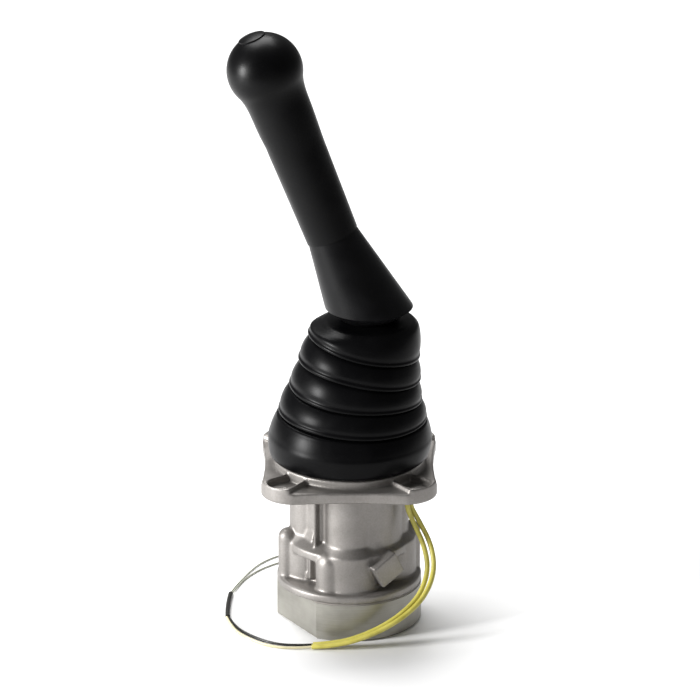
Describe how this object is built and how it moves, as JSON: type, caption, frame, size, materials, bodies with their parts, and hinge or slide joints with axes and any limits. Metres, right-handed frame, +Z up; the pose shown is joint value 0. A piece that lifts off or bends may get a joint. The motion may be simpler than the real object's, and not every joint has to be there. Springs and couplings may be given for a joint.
{
  "type": "hydraulic pilot joystick valve",
  "caption": "Hand-operated hydraulic pilot valve: square bolting flange, lobed cast body with ports underneath, folded rubber boot, raked lever grip with horn button and loose horn leads.",
  "frame": {"origin": "centre of the port block's underside, on the axis of the valve's round body", "axes": "+Z up the body towards the grip, -Y towards the viewer, +X to the right, with the grip leaning towards -X"},
  "size_m": [0.1264, 0.1613, 0.3661],
  "materials": {
    "cast_aluminium": "fine sand-cast skin, matt",
    "gasket": "rubber-coated sheet",
    "steel": "machined",
    "seal_rubber": "matt",
    "boot_rubber": "glossy moulded rubber",
    "skirt_plastic": "satin moulded",
    "grip_plastic": "fine matt moulding grain",
    "switch_plastic": "moulded",
    "yellow_sleeve": "satin PVC sleeving",
    "cream_insulation": "satin insulation",
    "black_insulation": "satin insulation",
    "grey_insulation": "satin insulation",
    "terminal_metal": "tinned brass"
  },
  "bodies": {
    "valve": {"black_wire": "black_insulation", "boot": "boot_rubber", "bush_o_rings": "seal_rubber", "casing": "cast_aluminium", "cream_wire": "cream_insulation", "guide_bush_back": "steel", "guide_bush_front": "steel", "guide_bush_left": "steel", "guide_bush_right": "steel", "heat_shrink": "black_insulation", "joint_stud": "steel", "lead_grommet": "seal_rubber", "lead_sleeve_inner": "yellow_sleeve", "lead_sleeve_outer": "yellow_sleeve", "locating_dowels": "steel", "mounting_flange": "cast_aluminium", "port_block": "cast_aluminium", "port_block_screws": "steel", "port_gasket": "gasket", "retaining_plate": "steel", "return_spring_back": "steel", "return_spring_front": "steel", "return_spring_left": "steel", "return_spring_right": "steel", "rod_wipers": "seal_rubber", "tail_wire_left": "grey_insulation", "tail_wire_right": "grey_insulation", "terminal_left": "terminal_metal", "terminal_right": "terminal_metal"},
    "cross": {"joint_cross": "steel"},
    "lever": {"joint_yoke": "steel", "actuating_disc": "steel", "adjusting_nut": "steel", "lock_nut": "steel", "lever_rod": "steel", "lever_skirt": "skirt_plastic", "grip": "grip_plastic", "horn_switch": "switch_plastic", "button_spring": "steel"},
    "horn_button": {"horn_button": "grip_plastic"},
    "push_rod_right": {"push_rod_right": "steel", "spring_seat_right": "steel"},
    "spool_right": {"spool_right": "steel", "metering_spring_right": "steel"},
    "push_rod_back": {"push_rod_back": "steel", "spring_seat_back": "steel"},
    "spool_back": {"spool_back": "steel", "metering_spring_back": "steel"},
    "push_rod_left": {"push_rod_left": "steel", "spring_seat_left": "steel"},
    "spool_left": {"spool_left": "steel", "metering_spring_left": "steel"},
    "push_rod_front": {"push_rod_front": "steel", "spring_seat_front": "steel"},
    "spool_front": {"spool_front": "steel", "metering_spring_front": "steel"}
  },
  "joints": [
    {"name": "lever_pitch", "type": "hinge", "parent": "valve", "child": "cross", "pos_m": [0, 0, 0.11], "axis": [1, 0, 0], "range_deg": [-19, 19], "stiffness_Nm_per_rad": 7, "deforming": ["boot"]},
    {"name": "lever_roll", "type": "hinge", "parent": "cross", "child": "lever", "pos_m": [0, 0, 0.11], "axis": [0, 1, 0], "range_deg": [-19, 19], "stiffness_Nm_per_rad": 7, "springref_deg": 0.43, "deforming": ["boot"]},
    {"name": "horn_press", "type": "slide", "parent": "lever", "child": "horn_button", "axis": [0.3584, 0, -0.9336], "range_m": [0, 0.002], "stiffness_N_per_m": 600, "springref_m": -0.002, "deforming": ["button_spring"]},
    {"name": "rod_slide_right", "type": "slide", "parent": "valve", "child": "push_rod_right", "axis": [0, 0, 1], "range_m": [-0.0075, 0.0075], "deforming": ["return_spring_right", "metering_spring_right"]},
    {"name": "spool_slide_right", "type": "slide", "parent": "valve", "child": "spool_right", "axis": [0, 0, 1], "range_m": [-0.0011, 0.0011]},
    {"name": "rod_slide_back", "type": "slide", "parent": "valve", "child": "push_rod_back", "axis": [0, 0, 1], "range_m": [-0.0075, 0.0075], "deforming": ["return_spring_back", "metering_spring_back"]},
    {"name": "spool_slide_back", "type": "slide", "parent": "valve", "child": "spool_back", "axis": [0, 0, 1], "range_m": [-0.0011, 0.0011]},
    {"name": "rod_slide_left", "type": "slide", "parent": "valve", "child": "push_rod_left", "axis": [0, 0, 1], "range_m": [-0.0075, 0.0075], "deforming": ["return_spring_left", "metering_spring_left"]},
    {"name": "spool_slide_left", "type": "slide", "parent": "valve", "child": "spool_left", "axis": [0, 0, 1], "range_m": [-0.0011, 0.0011]},
    {"name": "rod_slide_front", "type": "slide", "parent": "valve", "child": "push_rod_front", "axis": [0, 0, 1], "range_m": [-0.0075, 0.0075], "deforming": ["return_spring_front", "metering_spring_front"]},
    {"name": "spool_slide_front", "type": "slide", "parent": "valve", "child": "spool_front", "axis": [0, 0, 1], "range_m": [-0.0011, 0.0011]}
  ],
  "couplings": [
    {"joint": "rod_slide_right", "follows": "lever_roll", "m_per_rad": -0.022315},
    {"joint": "spool_slide_right", "follows": "lever_roll", "m_per_rad": -0.003016},
    {"joint": "rod_slide_back", "follows": "lever_pitch", "m_per_rad": 0.022315},
    {"joint": "spool_slide_back", "follows": "lever_pitch", "m_per_rad": 0.003016},
    {"joint": "rod_slide_left", "follows": "lever_roll", "m_per_rad": 0.022315},
    {"joint": "spool_slide_left", "follows": "lever_roll", "m_per_rad": 0.003016},
    {"joint": "rod_slide_front", "follows": "lever_pitch", "m_per_rad": -0.022315},
    {"joint": "spool_slide_front", "follows": "lever_pitch", "m_per_rad": -0.003016}
  ]
}
